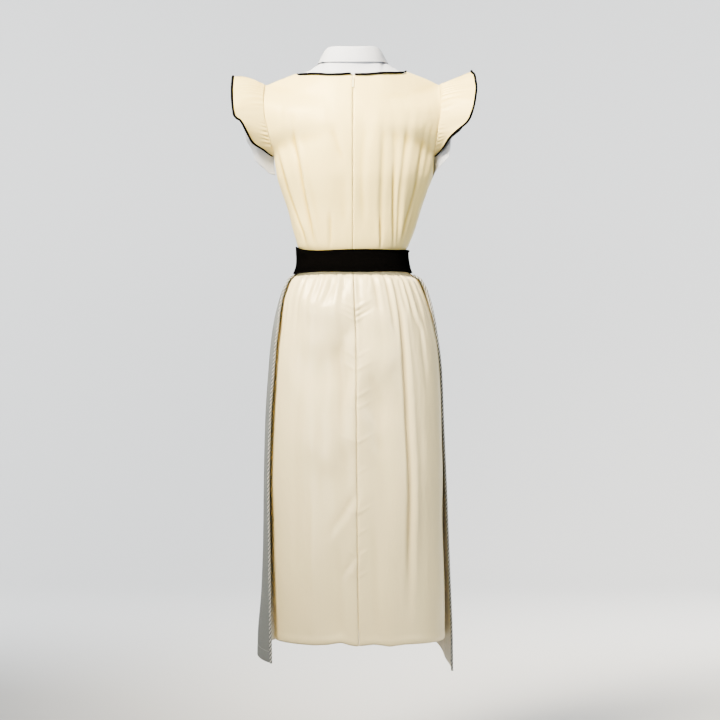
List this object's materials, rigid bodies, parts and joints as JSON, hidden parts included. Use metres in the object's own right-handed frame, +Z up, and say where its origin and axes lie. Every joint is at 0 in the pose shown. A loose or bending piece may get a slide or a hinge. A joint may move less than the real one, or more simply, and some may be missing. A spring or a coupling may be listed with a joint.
{
  "type": "dirndl",
  "caption": "Worn dirndl as a hollow form: collared white blouse, cream satin dress with piped flounce shoulders and gathered midi skirt, wide black belt, long grey apron with braided edges.",
  "frame": {"origin": "midway between the two shoulder tips, where the wearer's shoulders carry the dress", "axes": "+Z up, +Y towards the wearer's front, +X towards the wearer's right"},
  "size_m": [0.5076, 0.2857, 1.287],
  "materials": {
    "cream_satin": "soft sheen satin",
    "white_cotton": "matt plain weave",
    "black_trim": "matt covered cord",
    "black_elastic": "matt ribbed elastic",
    "grey_apron": "matt plain weave",
    "braid": "twisted two-colour braid",
    "zip_enamel": "gloss enamel",
    "pearl_button": "pearl gloss"
  },
  "bodies": {
    "garment": {"bodice_back_left": "cream_satin", "bodice_back_right": "cream_satin", "bodice_front": "cream_satin", "skirt_back_left": "cream_satin", "skirt_back_right": "cream_satin", "skirt_front": "cream_satin", "flounce_left": "cream_satin", "flounce_right": "cream_satin", "flounce_piping_left": "black_trim", "flounce_piping_right": "black_trim", "neck_piping_back_left": "black_trim", "neck_piping_back_right": "black_trim", "neck_piping_front": "black_trim", "zip_slider": "zip_enamel", "belt": "black_elastic", "apron": "grey_apron", "apron_braid_left": "braid", "apron_braid_right": "braid", "blouse_back": "white_cotton", "blouse_front_left": "white_cotton", "blouse_front_right": "white_cotton", "blouse_placket": "white_cotton", "under_flounce_left": "white_cotton", "under_flounce_right": "white_cotton", "collar_stand": "white_cotton", "collar_fall": "white_cotton", "blouse_button_1": "pearl_button", "blouse_button_2": "pearl_button"},
    "pull_tab": {"zip_pull_tab": "zip_enamel"}
  },
  "joints": [
    {"name": "pull_tab_swing", "type": "hinge", "parent": "garment", "child": "pull_tab", "pos_m": [0, -0.07197, 0.00321], "axis": [-1, 0, 0], "range_deg": [0, 150]}
  ]
}
